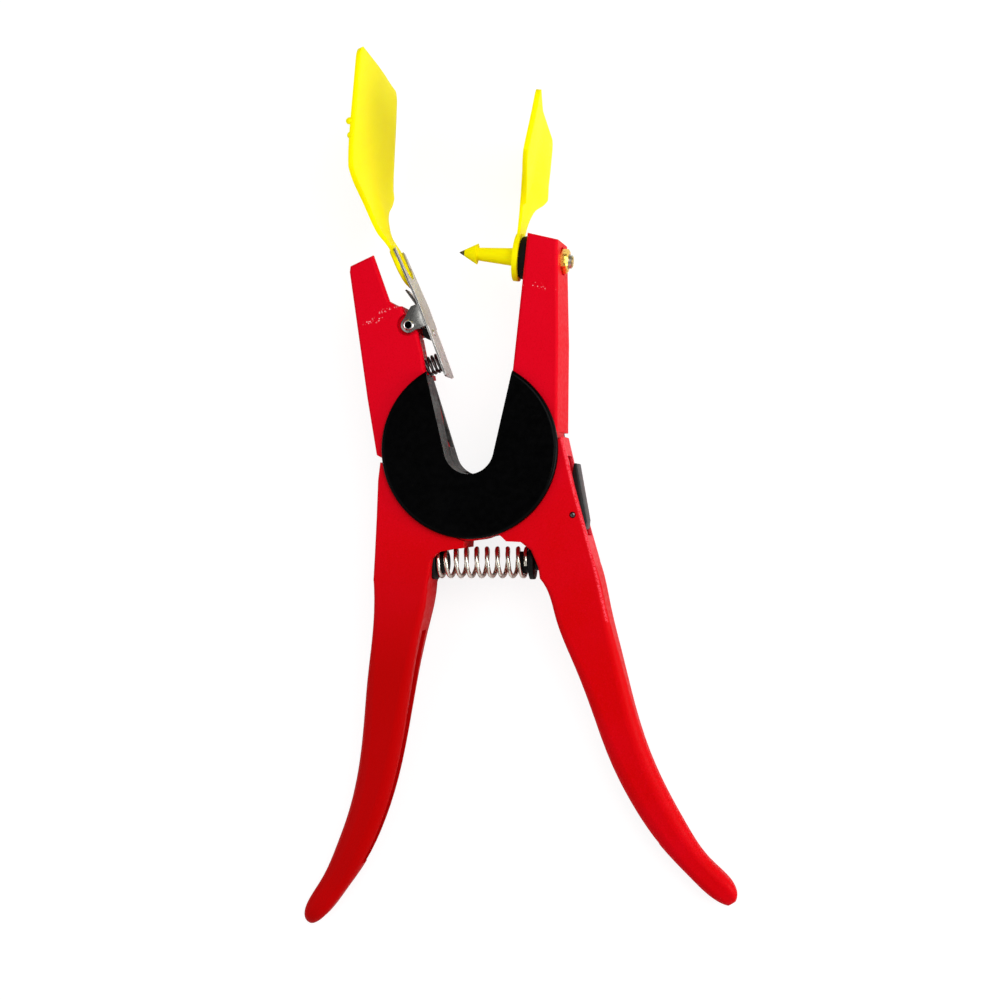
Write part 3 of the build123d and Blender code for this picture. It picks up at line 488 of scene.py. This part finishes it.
nodeFinish = {
    "female_jaw_lever": redLeftJaw, "male_jaw_lever": redRightJaw,
    "front_cover": coverBlack, "rear_cover": coverBlack,
    "pivot_bush": bushBronze, "pivot_bolt": turnedSteel, "pivot_washer": turnedSteel,
    "pivot_nut": turnedSteel, "return_spring": springNickel,
    "spring_seat_left": seatPlastic, "spring_seat_right": seatPlastic,
    "applicator_pin": turnedSteel, "pin_nut": nutBrass, "pin_washer": padRubber,
    "male_tag": tagYellow, "male_tag_point": darkSteel, "female_tag": tagYellow,
    "clip_plate": clipNickel, "clip_bracket": shadedBracketNickel, "clip_pin": clipNickel,
    "clip_pad": padRubber, "clip_rivet": clipNickel, "clip_spring": darkSteel,
    "lock_lever": leverPlastic, "lock_pin": darkSteel,
}
for nodeName, material in nodeFinish.items():
    nodes[nodeName].data.materials.clear()
    nodes[nodeName].data.materials.append(material)


# A finished mesh becomes a piece that rides on its body and stands for its nodes
def finishPiece(name, mesh, materials, body, replaced=(), sharp=35.0):
    for material in materials:
        mesh.materials.append(material)
    for face in mesh.polygons:
        face.use_smooth = True
    mesh.set_sharp_from_angle(angle=math.radians(sharp))
    piece = bpy.data.objects.new(name, mesh)
    bpy.context.scene.collection.objects.link(piece)
    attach(piece, body)
    if replaced:
        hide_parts(*replaced)
    return piece


def meshFrom(name, made, space=None):
    if space is not None:
        bmesh.ops.transform(made, matrix=space, verts=made.verts)
    bmesh.ops.recalc_face_normals(made, faces=made.faces)
    mesh = bpy.data.meshes.new(name)
    made.to_mesh(mesh)
    made.free()
    return mesh


# Turned body about Z in millimetres: (radius, height) pairs, a radius of 0 closes it
def turnedBody(made, profile, steps, reshape=None, marks=None):
    rings = []
    for radius, height in profile:
        if radius == 0:
            rings.append([made.verts.new((0, 0, height))])
            continue
        ring = []
        for step in range(steps):
            angle = 2 * math.pi * step / steps
            size = reshape(angle, radius, height) if reshape else radius
            ring.append(made.verts.new((size * math.cos(angle), size * math.sin(angle), height)))
        rings.append(ring)
    for index, (low, high) in enumerate(zip(rings, rings[1:])):
        for step in range(steps):
            after = (step + 1) % steps
            if len(low) == 1:
                corners = (low[0], high[step], high[after])
            elif len(high) == 1:
                corners = (low[step], low[after], high[0])
            else:
                corners = (low[step], low[after], high[after], high[step])
            face = made.faces.new(corners)
            if marks and index in marks:
                face.material_index = 1


# 0 to 1 with soft ends between two levels
def eased(value, start, stop):
    part = min(max((value - start) / (stop - start), 0.0), 1.0)
    return part * part * (3 - 2 * part)


# Value read from a table of (level, value) pairs
def tabled(table, level):
    for (low, first), (high, second) in zip(table, table[1:]):
        if level <= high:
            part = min(max((level - low) / (high - low), 0.0), 1.0)
            return first + (second - first) * part
    return table[-1][1]


# Curl of a tag's panel: its far side and its top edge bend out of the flat, as thin moulding does,
# and its button gets thinner
def curlTag(made, space, curl):
    back = space.inverted()
    for axis, levels in ((0, curl["rows"]), (2, curl["columns"])):
        normal = Vector([1.0 if index == axis else 0.0 for index in range(3)])
        for level in levels:
            parts = made.verts[:] + made.edges[:] + made.faces[:]
            bmesh.ops.bisect_plane(made, geom=parts, dist=1e-7, plane_co=space @ (normal * level),
                                   plane_no=(space.to_3x3() @ normal).normalized())
    for vert in made.verts:
        up, out, side = back @ vert.co
        shift = tabled(curl["far"], up) * eased(side, *curl["across"])
        shift += tabled(curl["neck"], up) * eased(side, *curl["neckAcross"])
        shift += tabled(curl["top"], up) * (1 - abs(side) / curl["half"])
        if curl["thinFrom"] <= out <= curl["thinTo"]:
            shift -= (out - curl["thinAbout"]) * tabled(curl["thin"], up)
        vert.co = space @ Vector((up, out + shift, side))


# A copy of a node with its sharp edges rounded, the rounds in their own finish
rounding = {"joinGap": 0.000002, "flatAngle": 0.6, "edgeAngle": 32.0, "segments": 2, "sharp": 50.0}


def softened(node, name, materials, body, width, edgeIndex, curl):
    made = bmesh.new()
    made.from_mesh(nodes[node].data)
    bmesh.ops.remove_doubles(made, verts=made.verts, dist=rounding["joinGap"])
    bmesh.ops.dissolve_limit(made, angle_limit=math.radians(rounding["flatAngle"]),
                             verts=made.verts, edges=made.edges)
    leastAngle = math.radians(rounding["edgeAngle"])
    edges = [edge for edge in made.edges
             if len(edge.link_faces) == 2 and edge.calc_face_angle(0.0) > leastAngle]
    bmesh.ops.bevel(made, geom=edges, offset=width * 0.001, offset_type="OFFSET",
                    segments=rounding["segments"], profile=0.5, affect="EDGES",
                    clamp_overlap=True, material=edgeIndex)
    if curl:
        curlTag(made, *curl)
    return finishPiece(name, meshFrom(name, made), materials, body, (node,),
                       rounding["sharp"])


# Coil springs by Geometry Nodes: closed ends, a slight unevenness of pitch
coilRule = {"ringSteps": 30, "wireSides": 12, "closedPitch": 2.05, "noiseRun": 14.0, "fadeIn": 4.0}


def makeCoilTree():
    tree = bpy.data.node_groups.new("coilSpring", "GeometryNodeTree")
    face = tree.interface
    for label in ("Turns", "Radius", "Wire", "Length", "End Turns", "Uneven", "Seed"):
        face.new_socket(name=label, in_out="INPUT", socket_type="NodeSocketFloat")
    face.new_socket(name="Material", in_out="INPUT", socket_type="NodeSocketMaterial")
    face.new_socket(name="Geometry", in_out="OUTPUT", socket_type="NodeSocketGeometry")
    given = newNode(tree, "NodeGroupInput").outputs
    result = newNode(tree, "NodeGroupOutput")

    def arithmetic(operation, first, second):
        node = newNode(tree, "ShaderNodeMath", operation=operation)
        feed(tree, node.inputs[0], first)
        feed(tree, node.inputs[1], second)
        return node.outputs[0]

    def span(value, low, high, start, stop):
        node = newNode(tree, "ShaderNodeMapRange")
        labels = ("Value", "From Min", "From Max", "To Min", "To Max")
        for label, source in zip(labels, (value, low, high, start, stop)):
            feed(tree, node.inputs[label], source)
        return node.outputs["Result"]

    turns, radius, wire, endTurns = (given[label] for label in ("Turns", "Radius", "Wire",
                                                                "End Turns"))
    spiral = newNode(tree, "GeometryNodeCurveSpiral")
    spiral.inputs["Resolution"].default_value = coilRule["ringSteps"]
    spiral.inputs["Height"].default_value = 1.0
    spiral.inputs["Reverse"].default_value = True
    tree.links.new(turns, spiral.inputs["Rotations"])
    tree.links.new(radius, spiral.inputs["Start Radius"])
    tree.links.new(radius, spiral.inputs["End Radius"])

    # height along the coil: a closed end, the free turns, a closed end
    factor = newNode(tree, "GeometryNodeSplineParameter").outputs["Factor"]
    share = arithmetic("DIVIDE", endTurns, turns)
    other = arithmetic("SUBTRACT", 1.0, share)
    pitch = arithmetic("MULTIPLY", wire, coilRule["closedPitch"])
    closed = arithmetic("MULTIPLY", pitch, endTurns)
    within = arithmetic("SUBTRACT", given["Length"], arithmetic("MULTIPLY", wire, 2.0))
    free = arithmetic("SUBTRACT", within, arithmetic("MULTIPLY", closed, 2.0))
    firstEnd = span(factor, 0.0, share, wire, arithmetic("ADD", wire, closed))
    middle = span(factor, share, other, 0.0, free)
    lastEnd = span(factor, other, 1.0, 0.0, closed)
    height = arithmetic("ADD", arithmetic("ADD", firstEnd, middle), lastEnd)

    # unevenness, faded in from the start
    wobble = newNode(tree, "ShaderNodeTexNoise", noise_dimensions="1D")
    noiseAt = arithmetic("MULTIPLY", factor, coilRule["noiseRun"])
    tree.links.new(arithmetic("ADD", noiseAt, given["Seed"]), wobble.inputs["W"])
    drift = arithmetic("MULTIPLY", arithmetic("SUBTRACT", wobble.outputs["Fac"], 0.5),
                       given["Uneven"])
    inner = arithmetic("MULTIPLY", arithmetic("MULTIPLY", factor, other), coilRule["fadeIn"])
    height = arithmetic("ADD", height,
                        arithmetic("MULTIPLY", drift, arithmetic("MINIMUM", inner, 1.0)))

    position = newNode(tree, "ShaderNodeSeparateXYZ")
    tree.links.new(newNode(tree, "GeometryNodeInputPosition").outputs[0], position.inputs[0])
    joined = newNode(tree, "ShaderNodeCombineXYZ")
    tree.links.new(position.outputs[0], joined.inputs[0])
    tree.links.new(position.outputs[1], joined.inputs[1])
    tree.links.new(height, joined.inputs[2])
    moved = newNode(tree, "GeometryNodeSetPosition")
    tree.links.new(spiral.outputs[0], moved.inputs["Geometry"])
    tree.links.new(joined.outputs[0], moved.inputs["Position"])
    section = newNode(tree, "GeometryNodeCurvePrimitiveCircle")
    section.inputs["Resolution"].default_value = coilRule["wireSides"]
    tree.links.new(wire, section.inputs["Radius"])
    tube = newNode(tree, "GeometryNodeCurveToMesh")
    tube.inputs["Fill Caps"].default_value = True
    tree.links.new(moved.outputs[0], tube.inputs["Curve"])
    tree.links.new(section.outputs[0], tube.inputs["Profile Curve"])
    real = newNode(tree, "GeometryNodeRealizeInstances")
    tree.links.new(tube.outputs[0], real.inputs[0])
    finished = newNode(tree, "GeometryNodeSetMaterial")
    tree.links.new(real.outputs[0], finished.inputs["Geometry"])
    tree.links.new(given["Material"], finished.inputs["Material"])
    tree.links.new(finished.outputs[0], result.inputs[0])
    return tree


coilTree = makeCoilTree()
coilSockets = {item.name: item.identifier for item in coilTree.interface.items_tree
               if item.in_out == "INPUT"}


def coilPiece(name, values, space, material, body, node):
    holderMesh = bpy.data.meshes.new(name + "Holder")
    holder = bpy.data.objects.new(name + "Holder", holderMesh)
    bpy.context.scene.collection.objects.link(holder)
    modifier = holder.modifiers.new("coil", "NODES")
    modifier.node_group = coilTree
    for label, value in values.items():
        modifier[coilSockets[label]] = value
    modifier[coilSockets["Material"]] = material
    bpy.context.view_layer.update()
    shown = holder.evaluated_get(bpy.context.evaluated_depsgraph_get())
    mesh = bpy.data.meshes.new_from_object(shown)
    holder.modifiers.clear()
    bpy.data.objects.remove(holder)
    mesh.transform(space)
    made = bmesh.new()
    made.from_mesh(mesh)
    bpy.data.meshes.remove(mesh)
    return finishPiece(name, meshFrom(name, made), [material], body, (node,), 60.0)


# Return spring, from the left seat's flange to the right one
returnCoil = {"start": (-18.4, -20.2), "end": (20.6, -23.3), "flange": 2.0, "keep": 0.7075,
              "phase": 120.0, "pushed": (0.896, -0.443),
              "shape": {"Turns": 9.2, "Radius": 5.25, "Wire": 0.8, "End Turns": 0.6,
                        "Uneven": 0.45, "Seed": 3.0}}
coilStart = Vector((*returnCoil["start"], 0.0))
coilEnd = Vector((*returnCoil["end"], 0.0))
coilRun = coilEnd - coilStart
coilTurn = (Matrix.Rotation(math.atan2(coilRun.y, coilRun.x), 4, "Z")
            @ Matrix.Rotation(math.radians(90), 4, "Y"))
coilSpace = (toolSpace @ Matrix.Translation(coilStart) @ coilTurn
             @ Matrix.Translation((0, 0, returnCoil["flange"]))
             @ Matrix.Rotation(math.radians(returnCoil["phase"]), 4, "Z"))
coilLength = coilRun.length - 2 * returnCoil["flange"]
returnSpring = coilPiece("returnSpring", {**returnCoil["shape"], "Length": coilLength},
                         coilSpace, springNickel, "left_jaw_side", "return_spring")
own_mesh(returnSpring)

# Small spring of the clip, from the pocket's floor in the jaw to the plate
clipCoil = {"along": -22.4, "from": 0.4, "length": 8.4, "keep": 0.67,
            "shape": {"Turns": 5.3, "Radius": 3.25, "Wire": 0.52, "End Turns": 0.8,
                      "Uneven": 0.15, "Seed": 8.0}}
clipCoilPlace = Matrix.Translation((clipCoil["along"], clipCoil["from"], 0))
clipSpring = coilPiece("clipSpring", {**clipCoil["shape"], "Length": clipCoil["length"]},
                       clipLowSpace @ clipCoilPlace @ acrossTurn, darkSteel, "left_jaw_side",
                       "clip_spring")
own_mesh(clipSpring)
print("springs made")

# Brass nut: chamfered corners, darker faces on the top rim and round the bore
nut = {"back": -15.18, "height": 3.6, "flats": 8.0, "bore": 2.5, "lip": 0.3, "hexFrom": 2.9,
       "chamfer": 0.55, "faceInset": 0.15, "rimInset": 0.1, "rimDrop": 0.12, "steps": 96}
weldGap = 0.0005


def hexReach(angle, radius, height):
    if radius <= nut["hexFrom"]:
        return radius
    turn = (angle + math.pi / 6) % (math.pi / 3) - math.pi / 6
    flat = (nut["flats"] / 2) / max(math.cos(math.pi / 6 - abs(turn)), 0.5)
    return min(radius, flat)


corner = nut["flats"] / math.sqrt(3)
top = nut["height"]
nutProfile = [(nut["bore"], nut["lip"]), (nut["bore"] + nut["lip"], 0.0),
              (nut["flats"] / 2 - nut["faceInset"], 0.0), (corner, nut["chamfer"]),
              (corner, top / 2), (corner, top - nut["rimDrop"]), (corner - nut["rimInset"], top),
              (nut["bore"] + nut["lip"], top), (nut["bore"], top - nut["lip"]),
              (nut["bore"], nut["lip"])]
nutMade = bmesh.new()
turnedBody(nutMade, nutProfile, nut["steps"], hexReach, marks=(0, 5, 8))
bmesh.ops.remove_doubles(nutMade, verts=nutMade.verts, dist=weldGap)
nutSpace = pinSpace @ Matrix.Translation((0, nut["back"], 0)) @ acrossTurn
finishPiece("brassNut", meshFrom("brassNut", nutMade, nutSpace), [nutBrass, nutEdge],
            "right_jaw_side", ("pin_nut",), 28.0)

# Threaded end of the applicator pin, inside the nut and just past it
thread = {"low": -16.7, "high": -11.7, "radius": 2.44, "depth": 0.26, "pitch": 0.8, "rows": 60,
          "steps": 48, "endInset": 0.45, "lead": 0.1, "leadRows": 4, "leadStep": 0.1}


def threadReach(angle, radius, height):
    if height <= 0:
        return radius
    phase = (height / thread["pitch"] - angle / (2 * math.pi)) % 1.0
    return radius - thread["depth"] * (1 - abs(2 * phase - 1))


threadRun = thread["high"] - thread["low"]
threadProfile = [(0, 0.0), (thread["radius"] - thread["endInset"], 0.0)]
for row in range(thread["rows"] + 1):
    radius = thread["radius"] - thread["leadStep"] * max(thread["leadRows"] - row, 0)
    level = thread["lead"] + (threadRun - thread["lead"]) * row / thread["rows"]
    threadProfile.append((radius, level))
threadProfile.append((0, threadRun))
threadMade = bmesh.new()
turnedBody(threadMade, threadProfile, thread["steps"], threadReach)
threadSpace = pinSpace @ Matrix.Translation((0, thread["low"], 0)) @ acrossTurn
finishPiece("threadedEnd", meshFrom("threadedEnd", threadMade, threadSpace), [threadBrass],
            "right_jaw_side", (), 50.0)
print("nut and thread made")

# Hollow cross pin of the clip, its ends rolled outwards round a hole with painted shade inside.
# The rim's profile is (radius, height past the half length) from the hole's floor outwards
eyelet = {"along": -6.3, "out": 6.3, "half": 8.8, "steps": 40,
          "rim": ((0, -2.2), (1.05, -2.2), (1.15, 0.1), (1.37, 0.47), (1.6, 0.55), (1.93, 0.3),
                  (2.05, 0.08), (2.0, 0.01), (1.2, 0.01))}
eyeletProfile = [(radius, eyelet["half"] + height) for radius, height in eyelet["rim"]]
eyeletProfile += [(radius, -height) for radius, height in reversed(eyeletProfile)]
eyeletMade = bmesh.new()
turnedBody(eyeletMade, eyeletProfile, eyelet["steps"],
           marks=(0, 1, len(eyeletProfile) - 3, len(eyeletProfile) - 2))
eyeletSpace = clipLowSpace @ Matrix.Translation((eyelet["along"], eyelet["out"], 0))
finishPiece("clipEyelet", meshFrom("clipEyelet", eyeletMade, eyeletSpace),
            [clipNickel, holeShade], "left_jaw_side", ("clip_pin",), 40.0)

# Domed rivet of the pad
rivet = {"along": -11.1, "low": -0.4, "head": 0.5, "radius": 1.5, "shank": 0.9, "rise": 1.5,
         "steps": 28}
dome = [(0, -rivet["head"])]
for degrees in (15, 30, 45, 60, 75, 90):
    turn = math.radians(degrees)
    dome.append((rivet["radius"] * math.sin(turn), -rivet["head"] * math.cos(turn)))
dome += [(rivet["shank"], 0.0), (rivet["shank"], rivet["rise"]), (0, rivet["rise"])]
rivetMade = bmesh.new()
turnedBody(rivetMade, dome, rivet["steps"])
rivetSpace = clipLowSpace @ Matrix.Translation((rivet["along"], rivet["low"], 0)) @ acrossTurn
finishPiece("clipRivetHead", meshFrom("clipRivetHead", rivetMade, rivetSpace), [clipNickel],
            "clip", ("clip_rivet",), 40.0)

# Black washer behind the male tag's button, a little thicker than the solid it stands for; partly
# a real part, partly painted shade filling the dark gap behind the button
washer = {"thick": 3.0, "radius": 8.3, "topRadius": 7.8, "bore": 3.2, "round": 0.35,
          "lift": 0.02, "steps": 64}
boreEdge = washer["bore"] + washer["round"]
washerTop = washer["thick"] - washer["round"]
washerProfile = [(washer["bore"], washer["round"]), (boreEdge, washer["lift"]),
                 (washer["radius"] - washer["round"], washer["lift"]),
                 (washer["radius"], washer["round"]), (washer["topRadius"], washerTop),
                 (washer["topRadius"] - washer["round"], washer["thick"]),
                 (boreEdge, washer["thick"]), (washer["bore"], washerTop),
                 (washer["bore"], washer["round"])]
washerMade = bmesh.new()
turnedBody(washerMade, washerProfile, washer["steps"])
bmesh.ops.remove_doubles(washerMade, verts=washerMade.verts, dist=weldGap)
finishPiece("pinWasher", meshFrom("pinWasher", washerMade, pinSpace @ acrossTurn), [padRubber],
            "right_jaw_side", ("pin_washer",), 50.0)

# Snap nubs on the near edge of the female tag
nubs = {"places": ((65.9, -7.55), (61.0, -5.85)), "side": 32.3, "size": (1.3, 1.35, 0.7),
        "steps": 20}
nubsMade = bmesh.new()
for up, out in nubs["places"]:
    nubSpace = (clipSpace @ Matrix.Translation((up, out, nubs["side"]))
                @ Matrix.Diagonal((*nubs["size"], 1)))
    bmesh.ops.create_uvsphere(nubsMade, u_segments=nubs["steps"], v_segments=nubs["steps"] // 2,
                              radius=1.0, matrix=nubSpace)
finishPiece("tagNubs", meshFrom("tagNubs", nubsMade), [tagYellow], "clip")

# Domed ends of the lock lever's pin
lockPin = {"at": (37.3, -6.9), "radius": 1.2, "half": 9.7, "dome": 0.55, "steps": 28}
pinProfile = [(0, lockPin["half"])]
for degrees in (20, 40, 60, 80):
    turn = math.radians(degrees)
    pinProfile.append((lockPin["radius"] * math.sin(turn),
                       lockPin["half"] - lockPin["dome"] * (1 - math.cos(turn))))
pinProfile.append((lockPin["radius"], lockPin["half"] - lockPin["dome"]))
pinProfile += [(radius, -height) for radius, height in reversed(pinProfile)]
lockPinMade = bmesh.new()
turnedBody(lockPinMade, pinProfile, lockPin["steps"])
lockPinSpace = toolSpace @ Matrix.Translation((*lockPin["at"], 0))
finishPiece("lockPinDomed", meshFrom("lockPinDomed", lockPinMade, lockPinSpace), [darkSteel],
            "left_jaw_side", ("lock_pin",), 50.0)

# How the two panels curl: shift out of the face in mm, by height up the tag
tagColumns = range(-30, 34, 5)
curls = {
    "male_tag": {
        "rows": range(10, 60, 3), "columns": tagColumns, "across": (6, -33), "half": 36,
        "far": [(12, 0), (21, -1.4), (28, -3.2), (40, -1.9), (49, -0.7), (56, 0.3)],
        "neck": [(8, 0), (18, -0.8), (26, -0.4), (34, 0)], "neckAcross": (4, -8),
        "top": [(40, 0), (48, 0.4), (56, 1.5)],
        "thin": [(18, 0.36), (28, 0)], "thinFrom": 1.8, "thinTo": 5.2, "thinAbout": 5.1},
    "female_tag": {
        "rows": range(10, 96, 4), "columns": tagColumns, "across": (6, -33), "half": 36,
        "far": [(44, 0), (51, -0.5), (62, -0.2), (76, 0.5), (90, 1.4)],
        "neck": [(22, 0), (30, -0.6), (36, -1.4), (41, -1.5), (50, -0.3), (54, 0)],
        "neckAcross": (4, -8), "top": [(70, 0), (80, 0.0), (90, 0.3)],
        "thin": [(20, 0.42), (30, 0)], "thinFrom": 0.3, "thinTo": 4.0, "thinAbout": 0.4},
}

# Pressed sheet parts, moulded parts and tags with rounded edges
soft = {
    "clip_bracket": {"name": "clipBracket", "with": [shadedBracketNickel, shadedClipEdge], "body": "clip",
                     "slot": "nickel", "width": 0.34, "edge": 1},
    "clip_plate": {"name": "clipPlate", "with": [clipNickel, shadedClipEdge], "body": "clip",
                   "slot": "nickel", "width": 0.16, "edge": 1},
    "clip_pad": {"name": "clipPad", "with": [padRubber], "body": "clip",
                 "slot": "black_rubber", "width": 0.25},
    "lock_lever": {"name": "lockLever", "with": [leverPlastic], "body": "lock",
                   "slot": "black_plastic", "width": 0.35},
    "spring_seat_left": {"name": "springSeatLeft", "with": [seatPlastic],
                         "body": "right_jaw_side", "slot": "black_plastic", "width": 0.3},
    "spring_seat_right": {"name": "springSeatRight", "with": [seatPlastic],
                          "body": "left_jaw_side", "slot": "black_plastic", "width": 0.3},
    "male_tag": {"name": "maleTag", "with": [tagYellow], "body": "right_jaw_side",
                 "slot": "tag_yellow", "width": 0.45, "curl": (pinSpace, curls["male_tag"])},
    "female_tag": {"name": "femaleTag", "with": [tagYellow], "body": "clip",
                   "slot": "tag_yellow", "width": 0.45,
                   "curl": (clipSpace, curls["female_tag"])},
}
for node, s in soft.items():
    softened(node, s["name"], s["with"], s["body"], s["width"], s.get("edge", 0),
             s.get("curl"))
print("soft edges made")

# Floor: plain and pale, white to the camera but for the soft shadow
ground = {"size": 6.0, "drop": 0.0002, "shown": 0.84, "own": 0.24, "lit": 0.86}
floorMesh = bpy.data.meshes.new("floor")
side = ground["size"] / 2
level = -ground["drop"]
floorMesh.from_pydata([(-side, -side, level), (side, -side, level), (side, side, level),
                       (-side, side, level)], [], [(0, 1, 2, 3)])
floorObject = bpy.data.objects.new("floor", floorMesh)
bpy.context.scene.collection.objects.link(floorObject)
floorMaterial = bpy.data.materials.new("paleFloor")
floorMaterial.use_nodes = True
floorTree = floorMaterial.node_tree
floorTree.nodes.clear()
floorOut = newNode(floorTree, "ShaderNodeOutputMaterial")
floorMix = newNode(floorTree, "ShaderNodeMixShader")
floorAdd = newNode(floorTree, "ShaderNodeAddShader")
floorPlain = newNode(floorTree, "ShaderNodeBsdfDiffuse")
floorFaint = newNode(floorTree, "ShaderNodeBsdfDiffuse")
floorGlow = newNode(floorTree, "ShaderNodeEmission")
floorPath = newNode(floorTree, "ShaderNodeLightPath")
floorEither = newNode(floorTree, "ShaderNodeMath", operation="MAXIMUM")
floorPlain.inputs["Color"].default_value = (ground["lit"], ground["lit"], ground["lit"], 1)
floorFaint.inputs["Color"].default_value = (ground["own"], ground["own"], ground["own"], 1)
floorGlow.inputs["Strength"].default_value = ground["shown"]
for start, end in (
        (floorPath.outputs["Is Camera Ray"], floorEither.inputs[0]),
        (floorPath.outputs["Is Transmission Ray"], floorEither.inputs[1]),
        (floorEither.outputs[0], floorMix.inputs["Fac"]),
        (floorGlow.outputs[0], floorAdd.inputs[0]), (floorFaint.outputs[0], floorAdd.inputs[1]),
        (floorPlain.outputs[0], floorMix.inputs[1]), (floorAdd.outputs[0], floorMix.inputs[2]),
        (floorMix.outputs[0], floorOut.inputs["Surface"])):
    floorTree.links.new(start, end)
floorMesh.materials.append(floorMaterial)
print("floor set")
